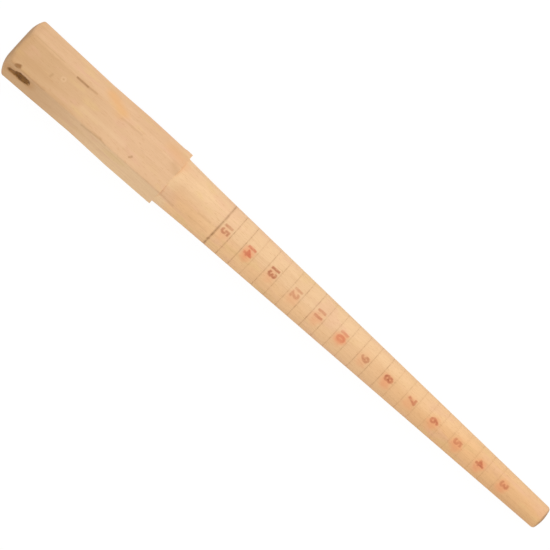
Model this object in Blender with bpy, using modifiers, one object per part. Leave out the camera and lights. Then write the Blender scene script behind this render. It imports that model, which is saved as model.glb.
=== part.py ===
"""A wooden ring mandrel: one stick, turned to a long taper from a six-sided blank.

The blank is a planed hexagonal bar. Its first part is left as the handle, and the rest is turned down to a
taper that ring sizes are read on. The turned taper is a little smaller than the blank's flats, so the
shoulder stands out at the corners and almost vanishes in the middle of each flat. The blank sat a little
off centre and askew in the lathe, so the shoulder is deeper on one side than on the other.

The stick is modelled upright, with the turning axis on Z, the butt at the bottom and the tip at the top.
It is then laid down as it rests on a bench: the tip end is the lighter one but the longer, so the stick
lies on the lower edge of its shoulder and on its tip, with the butt just off the bench.

Metres, +Z up. Laid down, the handle is towards -X, and the origin is under the middle of the stick's box.
"""

import math

import bmesh
import bpy
from mathutils import Matrix, Vector

# The blank. Widths are across the flats.
HANDLE_LENGTH = 0.0964
BUTT_WIDTH = 0.0285
WAIST_WIDTH = 0.02675
WAIST_FROM_BUTT = 0.0457
SWELL_WIDTH = 0.0273
SWELL_FROM_SHOULDER = 0.0271
SHOULDER_WIDTH = 0.0266
ARRIS_ROUNDING = 0.0007
OFF_CENTRE_AT_SHOULDER = 0.00015
BLANK_SKEW = math.radians(0.65)

# The knot that the plane went through, on the flat beside the top one. Its soft middle is gone.
KNOT_FROM_BUTT = 0.0103
KNOT_OFF_MIDDLE = 0.0023
KNOT_LENGTH = 0.0124
KNOT_WIDTH = 0.0056
KNOT_DEPTH = 0.0007

# The turned surface. The tip stands proud of the taper's end by a shallow dome.
TAPER_LENGTH = 0.2374
TIP_DIAMETER = 0.0125
TIP_DOME = 0.0006
STEP_AT_FLATS = 0.0001
FLARE_RISE = 0.000425
FLARE_LENGTH = 0.0300
TIP_ROUNDING = 0.0018
BUTT_FLAT_DIAMETER = 0.0140
BUTT_EDGE_RADIUS = 0.0153

# The scale. A ring of a given size slides as far as its mark, so each mark lies where the taper has the
# inner diameter of that ring. Sizes are North American ones.
SIZE_ZERO_DIAMETER = 0.01163
DIAMETER_PER_SIZE = 0.0008128
LARGEST_SIZE = 15
SMALLEST_SIZE = 3
MARKS_PER_SIZE = 2
MARK_WIDTH = 0.00055
MARK_DEPTH = 0.00022

# How finely round forms are faceted, how far the blank reaches past the turned surface, which points are
# one, and which edges are rounded over or shaded sharp.
TURNING_STEPS = 48
ARRIS_STEPS = 3
ROUNDING_STEPS = 4
FLARE_STEPS = 5
DOME_STEPS = 3
KNOT_STEPS = 16
BLANK_MARGIN = 0.0020
MERGE_DISTANCE = 0.000001
ARRIS_ANGLE = math.radians(40)
SHARP_ANGLE = math.radians(20)

HALF_STEP = math.pi / TURNING_STEPS
SIDES = 6
CORNER_PER_FLAT = 1 / math.cos(math.pi / SIDES)
STICK_LENGTH = HANDLE_LENGTH + TAPER_LENGTH
SHOULDER_RADIUS = SHOULDER_WIDTH / 2 - STEP_AT_FLATS
TAPER_SLOPE = (SHOULDER_RADIUS - FLARE_RISE - TIP_DIAMETER / 2) / TAPER_LENGTH


def clear_scene():
    """Removes whatever the scene holds."""
    for old in list(bpy.data.objects):
        bpy.data.objects.remove(old, do_unlink=True)


def new_collection(name):
    """Makes a collection in the scene."""
    collection = bpy.data.collections.new(name)
    bpy.context.scene.collection.children.link(collection)
    return collection


def new_object(name, mesh, collection):
    """Puts a mesh in a collection as an object."""
    thing = bpy.data.objects.new(name, mesh)
    collection.objects.link(thing)
    return thing


def bare_wood():
    """Pale, sanded hardwood with no varnish."""
    material = bpy.data.materials.new("bare_wood")
    material.use_nodes = True
    surface = material.node_tree.nodes["Principled BSDF"]
    surface.inputs["Base Color"].default_value = (0.80, 0.52, 0.29, 1.0)
    surface.inputs["Roughness"].default_value = 0.62
    surface.inputs["Metallic"].default_value = 0.0
    material.diffuse_color = (0.80, 0.52, 0.29, 1.0)
    return material


def blank_centre(height):
    """How far the blank's middle lies from the turning axis, along Y, at a height."""
    return OFF_CENTRE_AT_SHOULDER + (height - HANDLE_LENGTH) * math.tan(BLANK_SKEW)


def taper_radius(height):
    """The turned radius at a height: a straight taper that flares a little as it nears the shoulder."""
    straight = TIP_DIAMETER / 2 + TAPER_SLOPE * (STICK_LENGTH - height)
    nearness = max(0.0, 1 - (height - HANDLE_LENGTH) / FLARE_LENGTH)
    return straight + FLARE_RISE * nearness**2


def mark_heights():
    """Heights of the marks from the tip down, wherever the straight taper has the size."""
    count = (LARGEST_SIZE - SMALLEST_SIZE) * MARKS_PER_SIZE + 1
    highest = STICK_LENGTH - TIP_ROUNDING - MARK_WIDTH
    lowest = HANDLE_LENGTH + FLARE_LENGTH + MARK_WIDTH
    heights = []
    for step in range(count):
        diameter = SIZE_ZERO_DIAMETER + DIAMETER_PER_SIZE * (SMALLEST_SIZE + step / MARKS_PER_SIZE)
        height = STICK_LENGTH - (diameter - TIP_DIAMETER) / 2 / TAPER_SLOPE
        if lowest <= height <= highest:
            heights.append(height)
    return heights


def tip_profile():
    """The domed end of the tip and its rounded edge, as radius and height, from the axis outwards."""
    start = STICK_LENGTH - TIP_ROUNDING
    centre = taper_radius(start) - TIP_ROUNDING
    points = []
    for step in range(DOME_STEPS):
        share = step / DOME_STEPS
        points.append((centre * share, STICK_LENGTH + TIP_DOME * (1 - share**2)))
    for step in range(ROUNDING_STEPS + 1):
        angle = math.pi / 2 * (1 - step / ROUNDING_STEPS)
        points.append((centre + TIP_ROUNDING * math.cos(angle), start + TIP_ROUNDING * math.sin(angle)))
    return points


def scale_profile():
    """A V-shaped scribed line at each mark."""
    points = []
    for height in mark_heights():
        upper = height + MARK_WIDTH / 2
        lower = height - MARK_WIDTH / 2
        points.append((taper_radius(upper), upper))
        points.append((taper_radius(height) - MARK_DEPTH, height))
        points.append((taper_radius(lower), lower))
    return points


def flare_profile():
    """The last stretch of the taper, widening down to the shoulder."""
    heights = [HANDLE_LENGTH + FLARE_LENGTH * (1 - step / FLARE_STEPS) for step in range(FLARE_STEPS + 1)]
    return [(taper_radius(height), height) for height in heights]


def butt_profile(clear_radius):
    """Round the outside of the handle, clear of its corners, and over the rounded butt to the axis."""
    flat_radius = BUTT_FLAT_DIAMETER / 2
    widest = math.asin(min(1.0, (clear_radius - flat_radius) / BUTT_EDGE_RADIUS))
    points = [(clear_radius, HANDLE_LENGTH)]
    for step in range(ROUNDING_STEPS + 1):
        angle = widest * (1 - step / ROUNDING_STEPS)
        radius = flat_radius + BUTT_EDGE_RADIUS * math.sin(angle)
        points.append((radius, BUTT_EDGE_RADIUS * (1 - math.cos(angle))))
    points.append((0.0, 0.0))
    return points


def turned_surface(collection):
    """Everything that the lathe leaves, turned about Z from its profile.

    It starts half a step round, so that its facets, and not the lines between them, meet the arrises.
    """
    widest = max(BUTT_WIDTH, WAIST_WIDTH, SWELL_WIDTH, SHOULDER_WIDTH) / 2 * CORNER_PER_FLAT
    clear_radius = widest + max(abs(blank_centre(0.0)), abs(blank_centre(HANDLE_LENGTH))) + BLANK_MARGIN
    profile = tip_profile() + scale_profile() + flare_profile() + butt_profile(clear_radius)

    mesh = bpy.data.meshes.new("turned_surface")
    vertices = [(radius, 0.0, height) for radius, height in profile]
    edges = [(index, index + 1) for index in range(len(vertices) - 1)]
    mesh.from_pydata(vertices, edges, [])

    turned = new_object("turned_surface", mesh, collection)
    turned.rotation_euler.z = HALF_STEP
    screw = turned.modifiers.new("Turn", "SCREW")
    screw.axis = "Z"
    screw.angle = math.tau
    screw.steps = TURNING_STEPS
    screw.render_steps = TURNING_STEPS
    screw.use_merge_vertices = True
    screw.merge_threshold = MERGE_DISTANCE
    turned.hide_render = True
    turned.display_type = "WIRE"
    return turned


def blank_stations():
    """Height and width of each section that the blank is planed to, from butt to tip.

    The end stretches of the handle run on by a margin, so that no section lies in a turned face.
    """
    butt_gain = (BUTT_WIDTH - WAIST_WIDTH) / WAIST_FROM_BUTT * BLANK_MARGIN
    shoulder_loss = (SWELL_WIDTH - SHOULDER_WIDTH) / SWELL_FROM_SHOULDER * BLANK_MARGIN
    return [
        (-BLANK_MARGIN, BUTT_WIDTH + butt_gain),
        (WAIST_FROM_BUTT, WAIST_WIDTH),
        (HANDLE_LENGTH - SWELL_FROM_SHOULDER, SWELL_WIDTH),
        (HANDLE_LENGTH + BLANK_MARGIN, SHOULDER_WIDTH - shoulder_loss),
        (STICK_LENGTH + BLANK_MARGIN, SHOULDER_WIDTH - shoulder_loss),
    ]


def planed_blank(collection):
    """The six-sided bar, lofted through its sections, with corners on Y and a flat towards -X and +X."""
    form = bmesh.new()
    for height, width in blank_stations():
        place = Matrix.Translation((0.0, blank_centre(height), height))
        bmesh.ops.create_circle(form, segments=SIDES, radius=width / 2 * CORNER_PER_FLAT, matrix=place)

    form.verts.ensure_lookup_table()
    rings = [form.verts[first:first + SIDES] for first in range(0, len(form.verts), SIDES)]
    for below, above in zip(rings, rings[1:]):
        edges = [edge for edge in form.edges if all(v in below for v in edge.verts)]
        edges += [edge for edge in form.edges if all(v in above for v in edge.verts)]
        bmesh.ops.bridge_loops(form, edges=edges)
    bmesh.ops.holes_fill(form, edges=form.edges, sides=SIDES)
    bmesh.ops.recalc_face_normals(form, faces=form.faces)

    mesh = bpy.data.meshes.new("planed_blank")
    form.to_mesh(mesh)
    form.free()
    blank = new_object("planed_blank", mesh, collection)
    rounding = blank.modifiers.new("Worn arrises", "BEVEL")
    rounding.width = ARRIS_ROUNDING
    rounding.segments = ARRIS_STEPS
    rounding.limit_method = "ANGLE"
    rounding.angle_limit = ARRIS_ANGLE
    return blank


def knot_hollow(collection):
    """The hollow of the knot: an ellipsoid, long with the grain, centred on its flat.

    It starts half a step round, so that none of its corners lie in the flat.
    """
    width_here = BUTT_WIDTH + (WAIST_WIDTH - BUTT_WIDTH) * KNOT_FROM_BUTT / WAIST_FROM_BUTT
    side_turn = math.tau / SIDES
    outwards = Vector((-math.cos(side_turn), -math.sin(side_turn), 0.0))
    across = Vector((-math.sin(side_turn), math.cos(side_turn), 0.0))
    middle = Vector((0.0, blank_centre(KNOT_FROM_BUTT), KNOT_FROM_BUTT))
    middle += outwards * width_here / 2 + across * KNOT_OFF_MIDDLE
    shape = Matrix((across * KNOT_WIDTH / 2, outwards * KNOT_DEPTH, (0.0, 0.0, KNOT_LENGTH / 2)))
    start = Matrix.Rotation(math.pi / KNOT_STEPS, 4, "Z")

    form = bmesh.new()
    place = Matrix.Translation(middle) @ shape.transposed().to_4x4() @ start
    bmesh.ops.create_uvsphere(form, u_segments=KNOT_STEPS, v_segments=KNOT_STEPS // 2, radius=1.0, matrix=place)
    bmesh.ops.recalc_face_normals(form, faces=form.faces)
    mesh = bpy.data.meshes.new("knot_hollow")
    form.to_mesh(mesh)
    form.free()
    hollow = new_object("knot_hollow", mesh, collection)
    hollow.hide_render = True
    hollow.display_type = "WIRE"
    return hollow


def turn_blank(blank, turned, hollow, collection):
    """What is left of the blank inside the turned surface, as the finished mandrel."""
    for name, operation, cutter in (("Lathe", "INTERSECT", turned), ("Knot", "DIFFERENCE", hollow)):
        cut = blank.modifiers.new(name, "BOOLEAN")
        cut.operation = operation
        cut.solver = "EXACT"
        cut.object = cutter
    evaluated = blank.evaluated_get(bpy.context.evaluated_depsgraph_get())
    mesh = bpy.data.meshes.new_from_object(evaluated)
    mesh.name = "ring_mandrel"
    mesh.shade_smooth()
    mesh.set_sharp_from_angle(angle=SHARP_ANGLE)
    mesh.materials.clear()
    mesh.materials.append(bare_wood())
    bpy.data.objects.remove(blank, do_unlink=True)
    return new_object("ring_mandrel", mesh, collection)


def lie_down(mandrel):
    """Lays the stick along X on its shoulder's lower edge and its tip, over the middle of the origin."""
    touching = STICK_LENGTH - TIP_ROUNDING
    drop = SHOULDER_WIDTH / 2 - taper_radius(touching) * math.cos(HALF_STEP)
    tilt = math.atan(drop / (touching - HANDLE_LENGTH))
    turn = Matrix.Rotation(math.pi / 2 + tilt, 3, "Y")
    corners = [turn @ vertex.co for vertex in mandrel.data.vertices]
    low = Vector(min(corner[axis] for corner in corners) for axis in range(3))
    high = Vector(max(corner[axis] for corner in corners) for axis in range(3))
    mandrel.rotation_euler = turn.to_euler()
    mandrel.location = (-(low.x + high.x) / 2, -(low.y + high.y) / 2, -low.z)


def main():
    """Builds the mandrel."""
    clear_scene()
    parts = new_collection("Ring mandrel")
    cutters = new_collection("Cutters")
    turned = turned_surface(cutters)
    hollow = knot_hollow(cutters)
    blank = planed_blank(parts)
    mandrel = turn_blank(blank, turned, hollow, parts)
    lie_down(mandrel)


main()
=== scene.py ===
# %% [markdown]
# # A wooden ring mandrel
#
# A jeweller slides a ring onto this stick and reads its size where the ring stops. It is one piece of pale
# hardwood. A six-sided bar is planed first, and its near end stays as the handle. The rest is turned in a
# lathe to a long taper. Lines are scored round the taper while it spins, and a number is stamped in red ink
# after each second line.
#
# The solid comes from another file, as a fixed frame. This lesson gives it its looks. It makes a finer skin
# of the same form, the brown of the scored lines, the stamped numbers, and the wood itself.

# %% Load the frame
import math
from typing import NamedTuple

import bpy
from mathutils import Matrix, Vector


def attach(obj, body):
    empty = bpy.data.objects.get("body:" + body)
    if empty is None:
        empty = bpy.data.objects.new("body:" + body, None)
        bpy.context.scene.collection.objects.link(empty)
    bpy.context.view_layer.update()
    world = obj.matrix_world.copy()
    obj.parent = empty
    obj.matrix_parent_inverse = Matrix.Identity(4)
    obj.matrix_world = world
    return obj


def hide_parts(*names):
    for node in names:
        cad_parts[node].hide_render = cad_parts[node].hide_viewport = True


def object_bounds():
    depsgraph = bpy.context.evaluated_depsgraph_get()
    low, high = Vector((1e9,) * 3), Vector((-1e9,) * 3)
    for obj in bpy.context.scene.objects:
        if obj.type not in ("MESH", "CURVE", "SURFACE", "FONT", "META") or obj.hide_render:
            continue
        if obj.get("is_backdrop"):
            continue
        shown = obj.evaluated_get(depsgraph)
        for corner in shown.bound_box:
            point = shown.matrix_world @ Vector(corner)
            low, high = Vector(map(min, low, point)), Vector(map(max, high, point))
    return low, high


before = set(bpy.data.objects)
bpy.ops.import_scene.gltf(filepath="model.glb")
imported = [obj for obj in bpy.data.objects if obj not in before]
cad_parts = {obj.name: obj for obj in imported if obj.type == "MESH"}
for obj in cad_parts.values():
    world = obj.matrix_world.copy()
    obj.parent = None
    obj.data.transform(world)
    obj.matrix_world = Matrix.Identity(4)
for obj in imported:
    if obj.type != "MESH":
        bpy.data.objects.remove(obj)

CAD_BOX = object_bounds()
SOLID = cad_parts["ring_mandrel"]
print("the solid measures", [round(side * 1000, 1) for side in CAD_BOX[1] - CAD_BOX[0]], "mm")

# %% [markdown]
# ## The maker's sizes
#
# The skin has to lie where the solid lies, so it starts from the same driving sizes, in metres. The stick is
# drawn level first. `along` runs from the middle of the butt to the tip, `across` to the side, and `up` from
# the axis that it was turned on.

# %% Sizes of the blank and of the turned surface
HANDLE_LENGTH = 0.0964
BUTT_WIDTH = 0.0285
WAIST_WIDTH = 0.02675
WAIST_FROM_BUTT = 0.0457
SWELL_WIDTH = 0.0273
SWELL_FROM_SHOULDER = 0.0271
SHOULDER_WIDTH = 0.0266
OFF_CENTRE_AT_SHOULDER = 0.00015
BLANK_SKEW = math.radians(0.65)

TAPER_LENGTH = 0.2374
TIP_DIAMETER = 0.0125
TIP_DOME = 0.0006
STEP_AT_FLATS = 0.0001
FLARE_RISE = 0.000425
FLARE_LENGTH = 0.0300
TIP_ROUNDING = 0.0018
BUTT_FLAT_DIAMETER = 0.0140
BUTT_EDGE_RADIUS = 0.0153
CLEAR_RADIUS = 0.0180

STICK_LENGTH = HANDLE_LENGTH + TAPER_LENGTH
TAPER_SLOPE = (SHOULDER_WIDTH / 2 - STEP_AT_FLATS - FLARE_RISE - TIP_DIAMETER / 2) / TAPER_LENGTH
print("the stick is", round((STICK_LENGTH + TIP_DOME) * 1000, 1), "mm long")

# %% Sizes of the scale
SIZE_ZERO_DIAMETER = 0.01163
DIAMETER_PER_SIZE = 0.0008128
LARGEST_SIZE = 15
SMALLEST_SIZE = 3
MARKS_PER_SIZE = 2
MARK_WIDTH = 0.00055
WORN_DEPTH = 0.00011
print("the scale runs from size", LARGEST_SIZE, "down to size", SMALLEST_SIZE)

# %% [markdown]
# Each size along the stick follows a rule, so each is a small function. The blank's width is planed straight
# between four places. Its middle wanders from the turning axis, because the blank sat askew in the lathe.
# The taper is straight, apart from a slight flare near the shoulder where the gouge was lifted out.

# %% How the sizes change along the stick
WIDTH_STATIONS = [
    (0.0, BUTT_WIDTH),
    (WAIST_FROM_BUTT, WAIST_WIDTH),
    (HANDLE_LENGTH - SWELL_FROM_SHOULDER, SWELL_WIDTH),
    (HANDLE_LENGTH, SHOULDER_WIDTH),
    (STICK_LENGTH, SHOULDER_WIDTH),
]


def across_flats(along):
    """Width of the six-sided blank, straight between its stations."""
    for (start, width), (end, next_width) in zip(WIDTH_STATIONS, WIDTH_STATIONS[1:]):
        if along <= end:
            return width + (next_width - width) * (along - start) / (end - start)
    return SHOULDER_WIDTH


def off_centre(along):
    """How far the blank's middle lies to the side of the turning axis."""
    return OFF_CENTRE_AT_SHOULDER + (along - HANDLE_LENGTH) * math.tan(BLANK_SKEW)


def taper_radius(along):
    """Radius that the lathe left, past the shoulder."""
    nearness = max(0.0, 1 - (along - HANDLE_LENGTH) / FLARE_LENGTH)
    return TIP_DIAMETER / 2 + TAPER_SLOPE * (STICK_LENGTH - along) + FLARE_RISE * nearness**2


def mark_place(size):
    """Where the taper has the inner diameter of a ring of this size."""
    diameter = SIZE_ZERO_DIAMETER + DIAMETER_PER_SIZE * size
    return STICK_LENGTH - (diameter - TIP_DIAMETER) / 2 / TAPER_SLOPE


MARK_COUNT = (LARGEST_SIZE - SMALLEST_SIZE) * MARKS_PER_SIZE + 1
MARKS = [mark_place(LARGEST_SIZE - step / MARKS_PER_SIZE) for step in range(MARK_COUNT)]
PITCH = MARKS[1] - MARKS[0]
print(len(MARKS), "lines,", round(PITCH * 1000, 2), "mm apart")

# %% [markdown]
# ## Where the stick lies
#
# The stick rests on the lower edge of its shoulder and on its tip, so its axis dips a little towards the tip.
# The dip follows from the sizes. The place of the butt is read from the solid itself: once the dip is taken
# out of its points, the lowest `along` is the butt, and the tip's outline is centred on the axis. Every piece
# is made level and then laid down by this one matrix, so the pieces stay in line with each other.

# %% The matrix that lays a level piece down
touching = STICK_LENGTH - TIP_ROUNDING
DIP = math.atan((SHOULDER_WIDTH / 2 - taper_radius(touching)) / (touching - HANDLE_LENGTH))
level_points = [Matrix.Rotation(-DIP, 3, "Y") @ vertex.co for vertex in SOLID.data.vertices]
butt_place = min(point.x for point in level_points)
tip_points = [point for point in level_points if point.x > butt_place + STICK_LENGTH - TIP_ROUNDING / 2]
axis_place = [(min(p[side] for p in tip_points) + max(p[side] for p in tip_points)) / 2 for side in (1, 2)]
LAID_DOWN = Matrix.Rotation(DIP, 4, "Y") @ Matrix.Translation((butt_place, *axis_place))
print("the butt's middle lies at", [round(c * 1000, 2) for c in LAID_DOWN.translation], "mm")
print("the axis dips", round(math.degrees(DIP), 2), "degrees")

# %% [markdown]
# ## Writing rules as nodes
#
# Geometry Nodes and materials both work out numbers with Math nodes. Placed one by one they are hard to read,
# so a small class stands for the value on a node's output. Python's own signs on it add the Math nodes, and a
# rule then reads as it would on paper.

# %% A value on a wire between nodes
class Wire:
    """The value that leaves a node's output."""

    def __init__(self, tree, socket):
        self.tree = tree
        self.socket = socket

    def math(self, operation, *others):
        return add_node(self.tree, "ShaderNodeMath", [self, *others], operation=operation)

    def __add__(self, other):
        return self.math("ADD", other)

    def __sub__(self, other):
        return self.math("SUBTRACT", other)

    def __mul__(self, other):
        return self.math("MULTIPLY", other)

    def __truediv__(self, other):
        return self.math("DIVIDE", other)

    def __rsub__(self, other):
        return add_node(self.tree, "ShaderNodeMath", [other, self], operation="SUBTRACT")


def add_node(tree, kind, feeds=(), out=0, **settings):
    """Adds a node, sets it up, feeds its inputs by order or by name, and gives back one of its outputs."""
    node = tree.nodes.new(kind)
    for name, value in settings.items():
        setattr(node, name, value)
    usable = [socket for socket in node.inputs if socket.enabled]
    named = {socket.name: socket for socket in reversed(usable)}
    for key, value in feeds.items() if isinstance(feeds, dict) else enumerate(feeds):
        target = named[key] if isinstance(key, str) else usable[key]
        if isinstance(value, Wire):
            tree.links.new(value.socket, target)
        else:
            target.default_value = value
    made = [socket for socket in node.outputs if socket.enabled]
    return Wire(tree, node.outputs[out] if isinstance(out, str) else made[out])


operations = bpy.types.ShaderNodeMath.bl_rna.properties["operation"].enum_items
print("a Math node knows", len(operations), "operations")

# %% Small rules that are used again and again
def ramp(wire, low, high):
    """0 below low, 1 above high, and smooth between. It falls instead where low is the larger."""
    feeds = {"Value": wire, "From Min": low, "From Max": high}
    return add_node(wire.tree, "ShaderNodeMapRange", feeds, interpolation_type="SMOOTHSTEP")


def at_least(least, wire):
    """A share that ran from 0 to 1, made to run from the least to 1."""
    return wire * (1.0 - least) + least


def split(wire):
    """The three numbers of a vector."""
    node = wire.tree.nodes.new("ShaderNodeSeparateXYZ")
    wire.tree.links.new(wire.socket, node.inputs[0])
    return [Wire(wire.tree, output) for output in node.outputs]


def join(tree, x, y, z):
    """A vector of three numbers."""
    return add_node(tree, "ShaderNodeCombineXYZ", [x, y, z])


def vector(wire, operation, other):
    """A vector rule, such as a difference or a length."""
    return add_node(wire.tree, "ShaderNodeVectorMath", [wire, other], operation=operation)


def noise(place, stretch, shift=0.0, detail=2.0, out=0):
    """Smooth noise from 0 to 1. The stretch is how many of its lumps lie in a metre, each way."""
    feeds = {"Vector": vector(vector(place, "MULTIPLY", stretch), "ADD", (shift, 0.0, 0.0))}
    return add_node(place.tree, "ShaderNodeTexNoise", {**feeds, "Scale": 1.0, "Detail": detail}, out=out)


def random_step(place, stretch, reach, detail=2.0):
    """A small step in a random direction, up to half the reach each way."""
    colours = noise(place, stretch, shift=17.0, detail=detail, out=1)
    return vector(vector(colours, "SUBTRACT", (0.5, 0.5, 0.5)), "MULTIPLY", reach)


def ragged(place, stretch, reach):
    """The same place, moved a little, so that what is drawn from it gets an uneven edge."""
    return vector(place, "ADD", random_step(place, stretch, reach))


def pick(order, shares):
    """The share that stands at a whole number in a row of shares."""
    node = order.tree.nodes.new("ShaderNodeValToRGB")
    steps = node.color_ramp
    steps.interpolation = "CONSTANT"
    steps.elements.remove(steps.elements[1])
    for number, share in enumerate(shares):
        step = steps.elements.new(number / len(shares)) if number else steps.elements[0]
        step.color = (share, share, share, 1.0)
    order.tree.links.new(((order + 0.5) / len(shares)).socket, node.inputs[0])
    return Wire(order.tree, node.outputs[0])


trial = bpy.data.node_groups.new("trial", "ShaderNodeTree")
ramp(noise(join(trial, 0.0, 0.0, 0.0), (1.0, 1.0, 1.0)) * 2.0, 0.2, 0.8)
print("the rule ramp(noise(...) * 2.0, 0.2, 0.8) places", len(trial.nodes), "nodes")
bpy.data.node_groups.remove(trial)

# %% Objects, and trees of Geometry Nodes
def add_object(name, data):
    """An object in the scene."""
    made = bpy.data.objects.new(name, data)
    bpy.context.scene.collection.objects.link(made)
    return made


def new_tree(name, sizes):
    """A tree that takes and gives geometry, with a named input for each size."""
    tree = bpy.data.node_groups.new(name, "GeometryNodeTree")
    tree.interface.new_socket("Geometry", in_out="INPUT", socket_type="NodeSocketGeometry")
    for label, value in sizes.items():
        kind = "NodeSocketInt" if isinstance(value, int) else "NodeSocketFloat"
        tree.interface.new_socket(label, in_out="INPUT", socket_type=kind).default_value = value
    tree.interface.new_socket("Geometry", in_out="OUTPUT", socket_type="NodeSocketGeometry")
    entry = tree.nodes.new("NodeGroupInput")
    return tree, {output.name: Wire(tree, output) for output in entry.outputs if output.name}


def close_tree(tree, geometry, material):
    """Ends a tree: real geometry in place of instances, and its material."""
    real = add_node(tree, "GeometryNodeRealizeInstances", [geometry])
    painted = add_node(tree, "GeometryNodeSetMaterial", {"Geometry": real, "Material": material})
    leave = tree.nodes.new("NodeGroupOutput")
    tree.links.new(painted.socket, leave.inputs[0])


def make_piece(name, tree, sizes, start=None):
    """Runs a tree once, keeps what it made as a plain mesh, and lays that down where the stick lies."""
    piece = add_object(name, start or bpy.data.meshes.new(name))
    modifier = piece.modifiers.new(tree.name, "NODES")
    modifier.node_group = tree
    for item in tree.interface.items_tree:
        if item.in_out == "INPUT" and item.name in sizes:
            modifier[item.identifier] = sizes[item.name]
    evaluated = piece.evaluated_get(bpy.context.evaluated_depsgraph_get())
    mesh = bpy.data.meshes.new_from_object(evaluated)
    piece.modifiers.remove(modifier)
    mesh.name = name
    mesh.transform(LAID_DOWN)
    piece.data = mesh
    triangles = sum(len(face.vertices) - 2 for face in mesh.polygons)
    print(name, "has", len(mesh.vertices), "points and", triangles, "triangles")
    return piece


print("these trees are for the Geometry Nodes of Blender", bpy.app.version_string)

# %% [markdown]
# ## The colour of the wood
#
# The wood is bare and sanded. Its colour comes from how it grew: growth rings, fine fibres along the stick,
# pores, and small flecks. All of them are patterns in space, and the surface only cuts through them. That is
# why the rings run in long lines on the handle's flats, and in arches where the taper cuts across them.
#
# The patterns are worked out in the stick's own level directions, so the first step takes the dip out again.

# %% The stick's own directions, in a material
def stick_space(tree):
    """The point being painted: along the stick, across it, and up from its axis."""
    level = LAID_DOWN.inverted()
    point = Wire(tree, tree.nodes.new("ShaderNodeTexCoord").outputs["Object"])
    feeds = {"Vector": point, "Location": level.translation, "Rotation": level.to_euler()}
    return add_node(tree, "ShaderNodeMapping", feeds)


def blend(share, first, second):
    """Mixes two colours by a share."""
    feeds = {"Factor": share, "A": first, "B": second}
    return add_node(share.tree, "ShaderNodeMix", feeds, data_type="RGBA")


def paint(red, green, blue):
    """A colour as it looks on a screen, from 0 to 255, as the light that a shader works with."""
    def to_light(level):
        share = level / 255
        return share / 12.92 if share <= 0.04045 else ((share + 0.055) / 1.055) ** 2.4
    return (to_light(red), to_light(green), to_light(blue), 1.0)


print("a grey of 128 out of 255 on a screen is", round(paint(128, 128, 128)[0], 3), "of full light")

# %% [markdown]
# The tree that gave this blank stood much wider than the stick. Its middle, the pith, ran beside the blank,
# a little askew. The distance from the pith, bent by slow noise, is the age of the wood, and each year adds a
# ring that darkens towards its end and then starts pale again.

# %% Growth rings
PITH_ACROSS = -0.030
PITH_UP = -0.052
PITH_LEAN = 0.035
RING_WIDTH = 0.0024
RING_BEND = 0.0060


def growth_rings(place):
    """0 in the pale wood of spring, and 1 at the end of a year's ring."""
    along, across, up = split(place)
    sideways = across - PITH_ACROSS + along * PITH_LEAN
    upwards = up - PITH_UP
    from_pith = (sideways * sideways + upwards * upwards).math("SQRT")
    bent = from_pith + (noise(place, (14.0, 60.0, 60.0), shift=3.1) - 0.5) * RING_BEND
    year = (bent / RING_WIDTH).math("FRACT")
    return ramp(year, 0.25, 0.92) * ramp(year, 1.0, 0.92)


print("the blank is about", round(BUTT_WIDTH / RING_WIDTH), "years of growth across")

# %% [markdown]
# The wood is not one colour. Hands have darkened the handle towards its butt, most of all its top flat. The
# turned part is paler, because the gouge went deeper into the bar. Light is also painted into some washes:
# the taper's side towards the lamp is painted paler as a highlight, the handle's lower flat and the taper's
# lower side are painted lighter against their shade, and the foot of the taper is painted palest, against
# the shade that the shoulder's step casts there. A painted picture could hold this, but washes that follow
# the sizes stay clear at any distance. Over them lie layers of noise: soft clouds of a yellower and a pinker
# tone, and then the fibres, the short dark flecks and the pores, which only a close look finds.

# %% Colours of the wood
WOOD_AT_BUTT = paint(219, 176, 129)
WOOD_OF_HANDLE = paint(238, 194, 151)
WOOD_TURNED = paint(243, 200, 154)
WOOD_AT_TIP = paint(245, 192, 137)
# Painted light: this pale colour is laid only where the washes paint light onto the wood.
PALE_PAINTED_LIGHT = paint(250, 211, 164)
WOOD_DARK = paint(196, 146, 96)
WOOD_YELLOW = paint(238, 200, 138)
WOOD_PINK = paint(240, 186, 156)
# Painted light: this warm colour lifts the shaded lower side of the taper.
WARM_PAINTED_LIGHT = paint(255, 203, 148)
FLECK = paint(204, 146, 98)
PORE = paint(150, 98, 56)
END_GRAIN = paint(150, 112, 78)
print("the turned wood has", round(WOOD_TURNED[0] / WOOD_AT_BUTT[0], 2), "times the red of the butt")

# %% Washes, each with its place, its share and its colour
HELD_UP_TO = 0.078


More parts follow.
